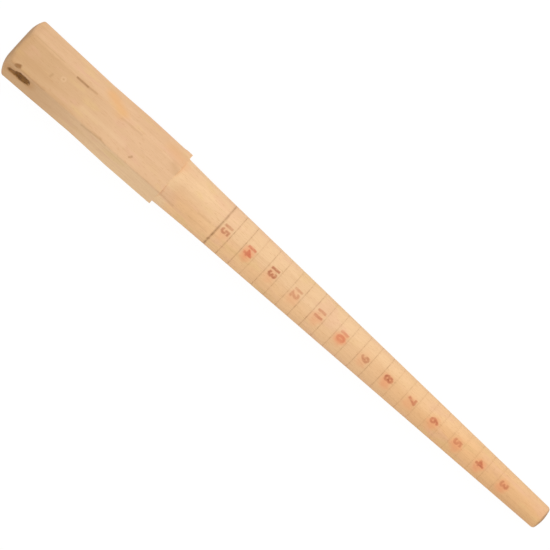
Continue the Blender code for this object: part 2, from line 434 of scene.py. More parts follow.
def washes(place):
    """The slow changes of colour along the stick and across it, in the order in which they are laid."""
    along, across, up = split(place)
    in_palm = at_least(0.4, ramp(across, 0.0095, 0.0060))
    uneven_across = across + noise(place, (30.0, 90.0, 90.0), shift=11.0) * 0.010
    return {
        "held": (ramp(along, HELD_UP_TO, 0.0) * in_palm, 1.0, WOOD_AT_BUTT),
        "rim_of_butt": (ramp(along, 0.007, 0.002), 0.20, WOOD_DARK),
        # Painted light: the handle's lower flat is painted paler towards the shoulder, as light thrown up
        # from the floor would make it.
        "painted_light_low_flat": (ramp(across, -0.0070, -0.0090) * ramp(along, 0.020, 0.070), 0.80, PALE_PAINTED_LIGHT),
        "turned": (ramp(along, 0.092, 0.116), 1.0, WOOD_TURNED),
        "towards_tip": (ramp(along, 0.190, 0.270), 1.0, WOOD_AT_TIP),
        # Painted highlight: the taper's side towards the lamp is painted paler.
        "painted_highlight_side": (ramp(uneven_across, 0.003, 0.012) * ramp(along, 0.094, 0.110), 0.50, PALE_PAINTED_LIGHT),
        # Painted light: the taper's lower side, away from the lamp, is painted lighter and warmer against its
        # shade.
        "painted_light_low_side": (
            ramp(across, 0.002, -0.006) * ramp(along, 0.096, 0.106) * ramp(along, 0.270, 0.150),
            0.70,
            WARM_PAINTED_LIGHT,
        ),
        # Painted light: the foot of the taper is painted palest, against the shade of the shoulder's step.
        "painted_light_at_foot": (ramp(along, 0.0960, 0.0964) * ramp(along, 0.1040, 0.0970), 0.80, PALE_PAINTED_LIGHT),
        "last_of_tip": (ramp(along, 0.285, 0.330), 0.12, WOOD_DARK),
    }


print("hands have darkened", round(HELD_UP_TO / HANDLE_LENGTH * 100), "% of the handle's length")

# %% Layers of noise
class Layer(NamedTuple):
    """Noise with so many lumps in a metre. It starts to show at low and is full at high."""

    lumps: tuple
    shift: float
    detail: float
    low: float
    high: float
    share: float
    colour: tuple


CLOUDS = {
    "yellow": Layer((55.0, 150.0, 150.0), 21.0, 2.0, 0.54, 0.72, 0.40, WOOD_YELLOW),
    "pink": Layer((55.0, 150.0, 150.0), 37.0, 2.0, 0.54, 0.72, 0.32, WOOD_PINK),
    "dark": Layer((22.0, 120.0, 120.0), 29.0, 3.0, 0.50, 0.72, 0.14, WOOD_DARK),
}
GRAIN = {
    "streaks": Layer((16.0, 620.0, 620.0), 5.0, 3.0, 0.52, 0.80, 0.13, WOOD_DARK),
    "fibres": Layer((120.0, 4200.0, 4200.0), 2.0, 2.0, 0.45, 0.85, 0.26, WOOD_DARK),
    "flecks": Layer((330.0, 3000.0, 3000.0), 19.0, 2.0, 0.60, 0.68, 0.30, FLECK),
    "pores": Layer((420.0, 5200.0, 5200.0), 8.0, 2.0, 0.68, 0.76, 0.40, PORE),
}
print("a pore is about", round(1000 / GRAIN["pores"].lumps[0], 1), "mm long")

# %% The clean wood
RINGS_ALONG_GRAIN = 0.07
RINGS_ON_END_GRAIN = 0.40


def tinted(colour, place, layers):
    """A colour with layers of noise over it."""
    for layer in layers.values():
        lumps = noise(place, layer.lumps, layer.shift, layer.detail)
        colour = blend(ramp(lumps, layer.low, layer.high) * layer.share, colour, layer.colour)
    return colour


def clean_wood(place, end_grain):
    """The colour of the wood, before any mark on it. Where the grain's end is cut, the rings show most."""
    colour = WOOD_OF_HANDLE
    for where, share, tone in washes(place).values():
        colour = blend(where * share, colour, tone)
    rings = growth_rings(place) * (end_grain * RINGS_ON_END_GRAIN + RINGS_ALONG_GRAIN)
    return tinted(blend(rings, tinted(colour, place, CLOUDS), WOOD_DARK), place, GRAIN)


print("on end grain the rings show", round(RINGS_ON_END_GRAIN / RINGS_ALONG_GRAIN + 1, 1), "times as much")

# %% [markdown]
# ## Flaws, and a painted shade
#
# The blank was a cheap one, with a knot near the butt, a split, a small pin knot, and streaks. The same table
# also holds a painted shade: a darker line along the shoulder's step, where the step shades the wood. Each
# flaw is a short run over the upper side. Its two ends are given as they look from straight above, and the
# height of the wood there follows from the maker's sizes. A point takes on the flaw's colour by its distance
# from the run, and noise makes the edge ragged. Later, the same rule presses the knot and the split into the
# mesh, so the colour and the hollow always match.

# %% The height of the wood over a place
MILLIMETRE = 0.001


def upper_surface(along, across):
    """The point of the wood over a place that is given as it looks from above."""
    if along > HANDLE_LENGTH:
        return Vector((along, across, math.sqrt(taper_radius(along) ** 2 - across**2)))
    half = across_flats(along) / 2
    aside = abs(across - off_centre(along))
    return Vector((along, across, min(half, (half - aside * math.sin(math.pi / 3)) / math.cos(math.pi / 3))))


waist = upper_surface(WAIST_FROM_BUTT, 0.0)
print("the waist's top flat stands", round(waist.z * 1000, 2), "mm above the axis")

# %% What a flaw is, and how near a point is to it
class MarkedRun(NamedTuple):
    """A mark on the upper side, in millimetres. Its ends are along and across. It needn't be coloured."""

    start: tuple
    end: tuple
    half_width: float
    edge: float
    colour: tuple = ()
    share: float = 0.0
    ragged: float = 1.0


FLAW_GRAIN = (450.0, 750.0, 750.0)
FLAW_RAGGED = (0.0009, 0.0006, 0.0006)


def tremor(place):
    """The step that makes the edges of all flaws ragged."""
    return random_step(place, FLAW_GRAIN, FLAW_RAGGED, detail=3.0)


def near(point, shift, flaw):
    """1 on the run of a mark, and 0 away from it."""
    start = upper_surface(*(number * MILLIMETRE for number in flaw.start))
    run = upper_surface(*(number * MILLIMETRE for number in flaw.end)) - start
    outer = (flaw.half_width + flaw.edge) * MILLIMETRE
    inner = (flaw.half_width - flaw.edge) * MILLIMETRE
    shaken = add_node(point.tree, "ShaderNodeVectorMath", [shift, flaw.ragged], operation="SCALE")
    from_start = vector(vector(point, "ADD", shaken), "SUBTRACT", start)
    share = vector(from_start, "DOT_PRODUCT", run) / run.length_squared
    inside = share.math("MAXIMUM", 0.0).math("MINIMUM", 1.0)
    reached = add_node(point.tree, "ShaderNodeVectorMath", [run, inside], operation="SCALE")
    return ramp(vector(from_start, "DISTANCE", reached), outer, inner)


print("a flaw's edge wanders by up to", round(FLAW_RAGGED[0] * 500, 2), "mm along the grain")

# %% The flaws, and the painted shade at the shoulder's step, from the butt to the tip
FLAWS_AND_SHADE = {
    "knot_stain": MarkedRun((6.0, -12.0), (16.4, -11.4), 3.6, 2.4, (198, 142, 86), 0.50),
    "knot_tail": MarkedRun((6.3, -12.4), (10.8, -12.0), 2.0, 0.6, (146, 96, 34), 0.92, 2.4),
    "knot_head": MarkedRun((11.0, -11.7), (14.0, -11.6), 3.0, 0.6, (132, 84, 18), 0.96, 3.2),
    "knot_spot": MarkedRun((6.8, -8.5), (8.0, -7.9), 1.0, 0.5, (148, 98, 50), 0.80, 2.4),
    "low_arris": MarkedRun((2.0, -8.8), (24.0, -8.6), 0.4, 0.5, (186, 140, 92), 0.45),
    "high_arris": MarkedRun((4.0, 8.0), (22.0, 7.8), 0.3, 0.5, (188, 144, 96), 0.35),
    "finger_mark": MarkedRun((21.9, -0.2), (21.6, -1.6), 0.5, 0.6, (192, 148, 102), 0.50),
    "pin_ring": MarkedRun((27.1, 1.5), (27.5, 1.5), 1.2, 0.6, (240, 200, 156), 0.50),
    "pin_knot": MarkedRun((27.2, 1.5), (27.4, 1.5), 0.3, 0.5, (196, 146, 98), 0.70),
    "split_dark": MarkedRun((31.6, 6.6), (38.2, 6.7), 0.45, 0.5, (164, 116, 72), 0.80),
    "split_pale": MarkedRun((38.2, 6.7), (43.4, 7.2), 0.4, 0.6, (180, 134, 90), 0.60),
    "pale_streak": MarkedRun((43.0, -2.6), (68.0, -2.0), 1.4, 1.4, (244, 204, 160), 0.40),
    "low_grain": MarkedRun((48.0, -8.8), (59.0, -7.6), 0.6, 0.8, (188, 142, 94), 0.40),
    "low_grain_end": MarkedRun((59.0, -7.6), (62.5, -8.4), 0.4, 0.6, (192, 146, 100), 0.35),
    "orange_patch": MarkedRun((49.7, 11.4), (58.0, 8.8), 3.2, 3.0, (240, 178, 108), 0.52, 2.0),
    "high_grain": MarkedRun((60.0, 6.6), (72.0, 7.0), 0.4, 0.6, (198, 150, 106), 0.28),
    "speck": MarkedRun((74.6, -4.8), (75.4, -3.8), 0.5, 0.5, (180, 132, 88), 0.60),
    "corner_tint": MarkedRun((88.0, 11.6), (95.0, 10.5), 4.0, 3.6, (234, 176, 116), 0.40),
    # A darker patch beside the shoulder.
    "dark_patch_by_shoulder": MarkedRun((92.8, 7.2), (95.2, 5.4), 1.9, 1.8, (196, 146, 96), 0.24),
    # Painted shade: a darker line along the shoulder's step, where the step shades the wood.
    "shoulder_step_shade": MarkedRun((96.3, 8.5), (96.3, 4.0), 0.3, 0.5, (172, 122, 78), 0.18),
    "cone_shade": MarkedRun((101.0, -1.0), (115.0, -4.0), 4.0, 3.8, (220, 170, 116), 0.20),
    "cone_edge": MarkedRun((97.5, -7.8), (105.0, -8.0), 0.5, 0.7, (194, 144, 96), 0.32),
    "cone_grain": MarkedRun((116.5, -2.2), (123.5, -1.8), 0.4, 0.7, (200, 150, 104), 0.32),
    "cone_grain_low": MarkedRun((112.0, -6.4), (125.0, -6.2), 0.4, 0.7, (206, 158, 112), 0.28),
    "line_spot": MarkedRun((127.8, -5.8), (127.9, -4.8), 0.3, 0.4, (152, 98, 50), 0.50),
    "line_spot_low": MarkedRun((127.6, -8.4), (127.9, -7.8), 0.5, 0.4, (152, 98, 50), 0.50),
}
longest = max(FLAWS_AND_SHADE, key=lambda name: FLAWS_AND_SHADE[name].end[0] - FLAWS_AND_SHADE[name].start[0])
print(len(FLAWS_AND_SHADE), "flaws, of which the longest is the", longest)

# %% [markdown]
# ## Ink in the wood
#
# The numbers were stamped with red ink, which crept along the pores and left a pink haze round each number.
# Some took more ink than others. The haze belongs to the wood, so it is painted there. One rule serves all of
# them, because they stand evenly: the place along the stick, counted in pitches, gives both which number is
# nearest and how far off its middle is.

# %% The haze round each number
FIRST_NUMBER = MARKS[0] + PITCH / 2
NUMBER_PITCH = PITCH * MARKS_PER_SIZE
INK_TAKEN = (0.68, 0.76, 0.82, 0.46, 0.60, 0.50, 0.64, 0.80, 0.68, 0.74, 0.56, 0.78, 0.64)
INK_BROWNED = (0.7, 0.0, 0.7, 0.6, 0.5, 0.1, 0.7, 0.6, 0.4, 0.4, 0.5, 0.4, 0.6)
HAZE_TAKEN = (0.3, 0.85, 0.4, 0.35, 0.45, 1.0, 0.35, 0.7, 0.4, 0.65, 0.7, 0.75, 0.7)
TWO_DIGITS = LARGEST_SIZE - 9
HAZE_REACH_ALONG = 0.0040
HAZE_REACH_ACROSS = 0.0050
HAZE_DROP = 0.0013
HAZE = paint(244, 154, 106)


def nearest_number(along):
    """The place in the row of numbers of the one nearest to here, and how far off it is."""
    counted = (along - FIRST_NUMBER) / NUMBER_PITCH + 0.5
    order = counted.math("FLOOR")
    return order, (counted - order - 0.5) * NUMBER_PITCH


print("the numbers stand", round(NUMBER_PITCH * 1000, 2), "mm apart")

# %% How far the haze reaches
def ink_haze(place):
    """How much ink crept into the wood here."""
    along, across, up = split(ragged(place, (240.0, 360.0, 360.0), (0.0034, 0.0034, 0.0)))
    order, beside = nearest_number(along)
    lengthways = beside / HAZE_REACH_ALONG
    sideways = (across + HAZE_DROP) / HAZE_REACH_ACROSS
    distance = (lengthways * lengthways + sideways * sideways).math("SQRT")
    upper_side = ramp(up, 0.0, 0.002)
    return ramp(distance, 1.10, 0.25) * pick(order + 1, (0.0, *HAZE_TAKEN, 0.0)) * upper_side


print("the haze reaches", HAZE_REACH_ALONG * 1000, "mm along and", HAZE_REACH_ACROSS * 1000, "mm across")

# %% [markdown]
# The lines were scored while the stick spun, and friction browned the wood. The brown is deepest in the
# groove and fades out beside it. The first line was held the longest, so it is the widest and darkest.
# Towards the tip the wood went by more slowly and stayed paler. Here too one rule does for all of them.

# %% The brown that spread from each line
LINE_BROWN = paint(140, 92, 52)
STAIN_REACH = 0.00060
FIRST_STAIN_REACH = 0.00105
STAIN_SHARE = 0.22
FIRST_STAIN_SHARE = 0.20
LEAST_BROWN = 0.35
BROWN_UP_TO_LINE = 10.0
PALEST_FROM_LINE = 18.0


def nearest_line(along):
    """The place in the row of lines of the one nearest to here, how far off it is, and how brown it got."""
    counted = (along - MARKS[0]) / PITCH
    order = counted.math("ROUND")
    luck = add_node(along.tree, "ShaderNodeTexWhiteNoise", {"W": order + 0.37}, noise_dimensions="1D")
    fading = ramp(order, PALEST_FROM_LINE, BROWN_UP_TO_LINE)
    brown = at_least(LEAST_BROWN, luck) * at_least(LEAST_BROWN, fading)
    return order, (counted - order).math("ABSOLUTE") * PITCH, brown


def line_stain(place):
    """How brown the wood beside the lines is."""
    along, across, up = split(ragged(place, (0.0, 260.0, 260.0), (0.00035, 0.0, 0.0)))
    order, beside, brown = nearest_line(along)
    first = ramp(order, 1.0, 0.0)
    on_scale = order.math("GREATER_THAN", -0.5) * order.math("LESS_THAN", MARK_COUNT - 0.5)
    reach = first * (FIRST_STAIN_REACH - STAIN_REACH) + STAIN_REACH
    held = ramp(noise(place, (0.0, 170.0, 170.0), shift=41.0), 0.25, 0.75) * 0.7 + 0.5
    share = first * FIRST_STAIN_SHARE + brown * STAIN_SHARE
    return ramp(beside / reach, 1.0, 0.1) * on_scale * held * share


print("the first line's brown is", FIRST_STAIN_REACH * 2000, "mm wide, the others'", STAIN_REACH * 2000, "mm")

# %% [markdown]
# A knot is the foot of a branch. This one was dead before the tree grew round it, so bark is left in it, in
# dark crumbs, and it has dried to a rough hollow. Two runs of the table of flaws make its uneven outline, and
# the bark is noise that shows inside them only.

# %% The knot
BARK = paint(84, 50, 8)
BARK_SHARE = 0.75
NARROW_END_SHARE = 0.7
BETWEEN_BARK_SHARE = 0.65


def knot_share(place, shift):
    """1 inside the knot, and less in its narrow end."""
    narrow_end = near(place, shift, FLAWS_AND_SHADE["knot_tail"]) * NARROW_END_SHARE
    return near(place, shift, FLAWS_AND_SHADE["knot_head"]).math("MAXIMUM", narrow_end)


def bark_in_knot(place):
    """The crumbs of bark."""
    return ramp(noise(place, (500.0, 1300.0, 1300.0), shift=31.0, detail=3.0), 0.48, 0.60)


knot_length = FLAWS_AND_SHADE["knot_head"].end[0] - FLAWS_AND_SHADE["knot_tail"].start[0]
print("the knot's middle line is", round(knot_length, 1), "mm long")

# %% [markdown]
# All of these marks now go over the clean wood, one by one. The result is used by three materials, so it is
# kept as one group of nodes, and a change of it changes all three.

# %% The whole colour, kept as one group of nodes
END_GRAIN_SHARE = 0.50
WORN_CORNER_SHARE = 0.24
SOUND_CORNER_SHARE = 0.04
HAZE_SHARE = 0.76

tree = bpy.data.node_groups.new("Wood colour", "ShaderNodeTree")
tree.interface.new_socket("Colour", in_out="OUTPUT", socket_type="NodeSocketColor")
place = stick_space(tree)
along = split(place)[0]
facing = split(Wire(tree, tree.nodes.new("ShaderNodeNewGeometry").outputs["Normal"]))[0]
far_end = ramp(facing, 0.35, 0.95) * at_least(0.2, ramp(along, 0.200, 0.300))
end_grain = ramp(facing, -0.84, -1.0) + far_end
colour = blend(end_grain * END_GRAIN_SHARE, clean_wood(place, end_grain), END_GRAIN)

corner = add_node(tree, "ShaderNodeAttribute", out="Fac", attribute_name="arris")
patchy = ramp(noise(place, (60.0, 200.0, 200.0), shift=13.0), 0.35, 0.65)
in_hand = ramp(along, 0.060, 0.020) * WORN_CORNER_SHARE + SOUND_CORNER_SHARE
colour = blend(corner * patchy * in_hand, colour, WOOD_DARK)
shift = tremor(place)
# The flaws, and the painted shade along the shoulder's step, are laid one by one.
for flaw in FLAWS_AND_SHADE.values():
    colour = blend(near(place, shift, flaw) * flaw.share, colour, paint(*flaw.colour))
colour = blend(knot_share(place, shift) * bark_in_knot(place) * BARK_SHARE, colour, BARK)
colour = blend(line_stain(place), colour, LINE_BROWN)
colour = blend(ink_haze(place) * HAZE_SHARE, colour, HAZE)
tree.links.new(colour.socket, tree.nodes.new("NodeGroupOutput").inputs[0])
WOOD_COLOUR = tree
print("the colour of the wood takes", len(WOOD_COLOUR.nodes), "nodes")


def wood_colour(tree):
    """The colour of the wood, in any material."""
    return add_node(tree, "ShaderNodeGroup", node_tree=WOOD_COLOUR)


# %% [markdown]
# ## Bare wood as a finish
#
# Sanded wood without varnish is nearly matt. Its fibres stand up a little, which a close look shows as fine
# lines along the stick, and the turned part has the last faint rings of the gouge and the sandpaper.

# %% The finish of the bare wood
RING_MARKS_PER_METRE = 2400.0
RING_MARK_SHARE = 0.6
FIBRE_HEIGHT = 0.00008
WEAK_SPECULAR = 0.25


def new_material(name, roughness):
    """A material and the shader that it ends in. Specular light is weak on bare wood."""
    material = bpy.data.materials.new(name)
    material.use_nodes = True
    shader = material.node_tree.nodes["Principled BSDF"]
    shader.inputs["Roughness"].default_value = roughness
    shader.inputs["Specular IOR Level"].default_value = WEAK_SPECULAR
    return material, material.node_tree, shader


BARE_WOOD, tree, shader = new_material("bare_wood", 0.62)
tree.links.new(wood_colour(tree).socket, shader.inputs["Base Color"])
place = stick_space(tree)
fibres = noise(place, (160.0, 3600.0, 3600.0), shift=2.0, detail=3.0)
turned = ramp(split(place)[0], HANDLE_LENGTH, HANDLE_LENGTH + 0.001)
ring_marks = noise(place, (RING_MARKS_PER_METRE, 40.0, 40.0), shift=9.0) * turned * RING_MARK_SHARE
feeds = {"Height": fibres + ring_marks, "Distance": FIBRE_HEIGHT, "Strength": 0.6}
tree.links.new(add_node(tree, "ShaderNodeBump", feeds).socket, shader.inputs["Normal"])
print("the finish of the bare wood takes", len(tree.nodes), "nodes, and its colour is one of them")

# %% [markdown]
# ## The stick
#
# On the bench, the bar was planed to six flats and then spun against a gouge. The nodes repeat that. The
# lathe's profile is a row of points from the middle of the butt to the middle of the tip: how far along, and
# how far out the gouge stood. Where the handle was not turned, the gouge stood clear of the wood.
#
# A grid is then bent round the axis. Each row of it takes one point of the profile, and each column one
# direction. A point goes out as far as the wood reaches in that direction, which is as far as the nearest of
# the gouge and the six flats. It could also be cut out with a Boolean, but a grid has even rows that follow
# the stick, and so it shades cleanly.

# %% The lathe's profile
def spread(start, end, longest):
    """Places from start up to, but not including, end, no further apart than longest."""
    count = max(1, math.ceil(abs(end - start) / longest))
    return [start + (end - start) * step / count for step in range(count)]


def butt_rows():
    """The flat middle of the butt, and the arc that rounds it over."""
    flat_radius = BUTT_FLAT_DIAMETER / 2
    widest = math.asin((CLEAR_RADIUS - flat_radius) / BUTT_EDGE_RADIUS)
    rows = [(0.0, radius) for radius in spread(0.0, flat_radius, 0.0010)]
    for angle in spread(0.0, widest, 0.026):
        out = flat_radius + BUTT_EDGE_RADIUS * math.sin(angle)
        rows.append((BUTT_EDGE_RADIUS * (1 - math.cos(angle)), out))
    rows.append((BUTT_EDGE_RADIUS * (1 - math.cos(widest)), CLEAR_RADIUS))
    return rows


def shoulder_rows():
    """The flat end face that is left where the turning stops."""
    inner = taper_radius(HANDLE_LENGTH)
    return [(HANDLE_LENGTH, CLEAR_RADIUS)] + [(HANDLE_LENGTH, inner + step) for step in (0.0014, 0.0007, 0.0)]


def mark_rows(mark):
    """A scored groove, round at the bottom."""
    shape = [(-0.5, 0.0), (-0.22, 0.8), (0.0, 1.0), (0.22, 0.8), (0.5, 0.0)]
    places = [(mark + side * MARK_WIDTH, depth) for side, depth in shape]
    return [(place, taper_radius(place) - depth * WORN_DEPTH) for place, depth in places]


def tip_rows():
    """The rounded edge and the domed end of the tip."""
    start = STICK_LENGTH - TIP_ROUNDING
    centre = taper_radius(start) - TIP_ROUNDING
    arc = [(math.sin(angle), math.cos(angle)) for angle in spread(0.0, math.pi / 2, 0.16) + [math.pi / 2]]
    rows = [(start + TIP_ROUNDING * sine, centre + TIP_ROUNDING * cosine) for sine, cosine in arc]
    inner = spread(centre, 0.0, 0.0008)[1:] + [0.0]
    return rows + [(STICK_LENGTH + TIP_DOME * (1 - (radius / centre) ** 2), radius) for radius in inner]


print(len(butt_rows()), "rows round the butt over, and", len(tip_rows()), "round the tip over")

# %% The whole profile, from the butt to the tip
KNOT_END = 0.0200
SHOULDER_EDGE = HANDLE_LENGTH - 0.00015
ROW_STEP_AT_KNOT = 0.00045
ROW_STEP_ON_HANDLE = 0.0009
ROW_STEP_ON_TAPER = 0.0014

rows = butt_rows()
places = spread(rows[-1][0], KNOT_END, ROW_STEP_AT_KNOT)[1:]
places += spread(KNOT_END, SHOULDER_EDGE, ROW_STEP_ON_HANDLE) + [SHOULDER_EDGE]
rows += [(along, CLEAR_RADIUS) for along in places]
rows += shoulder_rows()
reached = HANDLE_LENGTH
for mark in MARKS:
    places = spread(reached, mark - MARK_WIDTH / 2, ROW_STEP_ON_TAPER)[1:]
    rows += [(along, taper_radius(along)) for along in places] + mark_rows(mark)
    reached = mark + MARK_WIDTH / 2
places = spread(reached, STICK_LENGTH - TIP_ROUNDING, ROW_STEP_ON_TAPER)[1:]
rows += [(along, taper_radius(along)) for along in places]
rows += tip_rows()

profile = bpy.data.meshes.new("lathe_profile")
joined = [(number, number + 1) for number in range(len(rows) - 1)]
profile.from_pydata([(along, 0.0, radius) for along, radius in rows], joined, [])
for name, rule in (("across_flats", across_flats), ("off_centre", off_centre)):
    values = profile.attributes.new(name, "FLOAT", "POINT")
    values.data.foreach_set("value", [rule(along) for along, radius in rows])
print("the profile has", len(rows), "rows")

# %% [markdown]
# The tree reads the profile row by row. The columns crowd together at the six corners, where the wood bends
# most. Near a corner two flats come equally close, and a smooth minimum of the two rounds the corner over, as
# hands do. Each flat also waves a little along its length, because a plane was pushed along it in short
# strokes. Last, the knot and the split go in, and a burr that the gouge raised at the shoulder stands out.
# The tree also notes how near each point is to a corner, because the colour of the wood asks for that.

# %% The tree that turns and planes the stick
SIDES = 6
COLUMNS_A_SIDE = 30
BUTT_IS_WORN = 6.0
WAVES_A_METRE = 28.0
tree, size = new_tree("Turn and plane", {
    "Columns a side": COLUMNS_A_SIDE,
    "Crowding at corners": 0.6,
    "Corner rounding": 0.0011,
    "Edge wear": 0.00025,
    "Plane waves": 0.00012,
    "Knot depth": 0.0007,
    "Split depth": 0.00016,
    "Burr height": 0.00045,
})

row_count = add_node(tree, "GeometryNodeAttributeDomainSize", [size["Geometry"]])
column_count = size["Columns a side"] * SIDES + 1
grid = add_node(tree, "GeometryNodeMeshGrid", {"Vertices X": row_count, "Vertices Y": column_count})
index = add_node(tree, "GeometryNodeInputIndex")
row = ((index + 0.5) / column_count).math("FLOOR")
column = index - row * column_count
print("the grid has", len(rows), "rows and", COLUMNS_A_SIDE * SIDES, "columns")


def read_row(value, data_type):
    """A value of the profile at this point's row."""
    feeds = {"Geometry": size["Geometry"], "Value": value, "Index": row}
    return add_node(tree, "GeometryNodeSampleIndex", feeds, data_type=data_type)


def profile_value(name):
    """A number that the profile carries under a name."""
    stored = add_node(tree, "GeometryNodeInputNamedAttribute", {"Name": name}, data_type="FLOAT")
    return read_row(stored, "FLOAT")


along, aside, gouge = split(read_row(add_node(tree, "GeometryNodeInputPosition"), "FLOAT_VECTOR"))
half_width = profile_value("across_flats") / 2
middle = profile_value("off_centre")

# %% The direction of each column, and how far the wood reaches in it
side_turn = math.tau / SIDES
turns = column / size["Columns a side"]
crowded = turns - (turns * math.tau).math("SINE") * size["Crowding at corners"] / math.tau
angle = (crowded + 0.5) * side_turn

flats = []
for side in range(SIDES):
    facing = side * side_turn
    lean = (angle - facing).math("COSINE").math("MAXIMUM", 0.1)
    wave = noise(join(tree, along * WAVES_A_METRE, side * 5.0, 0.0), (1.0, 1.0, 1.0)) - 0.5
    distance = half_width + middle * math.sin(facing) + wave * size["Plane waves"] * 2
    flats.append(distance / lean)

planed = flats[0]
for flat in flats[1:]:
    planed = planed.math("SMOOTH_MIN", flat, size["Corner rounding"])
wear = size["Edge wear"] * (ramp(along, 0.010, 0.002) * BUTT_IS_WORN + 1)
reach = planed.math("SMOOTH_MIN", gouge, wear)


def bent_round(distance):
    """The point at this distance from the axis, in this column's direction."""
    return join(tree, along, distance * angle.math("SINE"), distance * angle.math("COSINE"))


print("the butt's rim is worn", BUTT_IS_WORN + 1, "times as round as the shoulder's edge")

# %% The knot, the split and the burr, and the note on corners
BURR = MarkedRun((93.2, 15.0), (96.0, 15.0), 1.0, 0.9)
PALE_SPLIT_SHARE = 0.6

sound = bent_round(reach)
shift = tremor(sound)
hollow = knot_share(sound, shift) * at_least(BETWEEN_BARK_SHARE, bark_in_knot(sound))
split_narrow = near(sound, shift, FLAWS_AND_SHADE["split_pale"]) * PALE_SPLIT_SHARE
split_open = near(sound, shift, FLAWS_AND_SHADE["split_dark"]).math("MAXIMUM", split_narrow)
pressed = reach - hollow * size["Knot depth"] - split_open * size["Split depth"]
flawed = pressed + near(sound, shift, BURR) * size["Burr height"]

from_corner = (crowded - crowded.math("ROUND")).math("ABSOLUTE") * side_turn * SHOULDER_WIDTH / 2
left_square = ramp(gouge - planed, 0.0, 0.0006)
at_corner = ramp(from_corner, 0.0012, 0.0002) * left_square
print("the tree has", len(tree.nodes), "nodes so far")

# %% Bending the grid, and making the stick
bent = add_node(tree, "GeometryNodeSetPosition", {"Geometry": grid, "Position": bent_round(flawed)})
note = {"Geometry": bent, "Name": "arris", "Value": at_corner}
noted = add_node(tree, "GeometryNodeStoreNamedAttribute", note)
closed = add_node(tree, "GeometryNodeMergeByDistance", {"Geometry": noted, "Distance": 0.000002})
close_tree(tree, closed, BARE_WOOD)

stick = make_piece("stick", tree, {"Columns a side": COLUMNS_A_SIDE}, start=profile)
stick.data.shade_smooth()
stick.data.set_sharp_from_angle(angle=math.radians(35))

# %% [markdown]
# ## The brown of the scored lines
#
# The bottom of each groove is browner than the wood beside it, and worn off in places. One thin flat ring
# lies in each groove for it. Geometry Nodes set a point at each line along the axis, put a ring of radius one
# on it, and scale it to the taper there. The same row of points will later carry the numbers.

# %% The finish of the lines
DOTS_SHARE = 0.50
FIRST_LINE_SHARE = 0.08
FAINTEST_SHARE = 0.02

SCRIBED_LINE, tree, shader = new_material("scribed_line", 0.70)
place = stick_space(tree)
order, beside, brown = nearest_line(split(place)[0])
dots = ramp(noise(place, (0.0, 620.0, 620.0), shift=4.0), 0.36, 0.74)
first = ramp(order, 1.0, 0.0)
share = dots * brown * DOTS_SHARE + first * FIRST_LINE_SHARE + FAINTEST_SHARE
share = share * ramp(beside, 0.00024, 0.00006)
tree.links.new(blend(share, wood_colour(tree), LINE_BROWN).socket, shader.inputs["Base Color"])
print("the lines are", FAINTEST_SHARE, "to", DOTS_SHARE + FIRST_LINE_SHARE + FAINTEST_SHARE, "brown")

# %% The tree that lays a ring in each groove
LINE_LIES_AT = 0.70


def row_of_points(size, count, first):
    """Points on the axis, one pitch apart."""
    start, offset = (join(size[name].tree, size[name], 0.0, 0.0) for name in (first, "Pitch"))
    feeds = {"Count": size[count], "Start Location": start, "Offset": offset}
    return add_node(start.tree, "GeometryNodeMeshLine", feeds)


def straight_taper(along):
    """The radius of the taper past its flare, as nodes."""
    return (STICK_LENGTH - along) * TAPER_SLOPE + TIP_DIAMETER / 2


tree, size = new_tree("Lines of the scale", {
    "Lines": MARK_COUNT,
    "First line": MARKS[0],
    "Pitch": PITCH,
    "Line width": 0.00046,
    "Line thickness": 0.00006,
    "Segments": 96,
})
radius = straight_taper(split(add_node(tree, "GeometryNodeInputPosition"))[0]) - WORN_DEPTH * LINE_LIES_AT
ring = add_node(tree, "GeometryNodeCurvePrimitiveCircle", {"Resolution": size["Segments"], "Radius": 1.0})
on_points = add_node(tree, "GeometryNodeInstanceOnPoints", {
    "Points": row_of_points(size, "Lines", "First line"),
    "Instance": ring,
    "Rotation": add_node(tree, "FunctionNodeEulerToRotation", [(0.0, math.pi / 2, 0.0)]),
    "Scale": join(tree, radius, radius, radius),
})
rings = add_node(tree, "GeometryNodeRealizeInstances", [on_points])
section = add_node(tree, "GeometryNodeCurvePrimitiveCircle", {"Resolution": 8, "Radius": 0.5})
flattened = add_node(tree, "GeometryNodeTransform", {
    "Geometry": section,
    "Scale": join(tree, size["Line width"], size["Line thickness"], 1.0),
})
tubes = add_node(tree, "GeometryNodeCurveToMesh", {"Curve": rings, "Profile Curve": flattened})
close_tree(tree, tubes, SCRIBED_LINE)
scale_lines = make_piece("scale_lines", tree, {"Lines": MARK_COUNT})
scale_lines.data.shade_smooth()

# %% [markdown]
# ## The stamped numbers
#
# A number stands in the gap past each whole size, with its top towards the tip. A loop in the tree visits one
# point for each number. It writes the size as text and fills it, which gives crisp type, as on the stamp. Ink
# on bare wood isn't crisp, so the loop then lays a fine sheet over the type. Each point of the sheet asks how
# far the nearest type is. What lies further away than the ink could creep is cut off, and the rest keeps, as
# an attribute, how much ink it took. Noise moves the point that asks, so the edge is uneven.
#
# All of this happens flat. Then the sheets get the thickness of a film, and each point goes round the taper
# by the length that it had to the side, so nothing is stretched. Where there is hardly any ink the film dips
# under the wood, so that no edge of it shows.

# %% The finish of the ink
INK_RED = paint(206, 82, 54)
INK_BROWN = paint(164, 90, 50)
INK_DEEP = paint(140, 58, 32)
INK_STRENGTH = 0.85
POOL_STRENGTH = 0.45

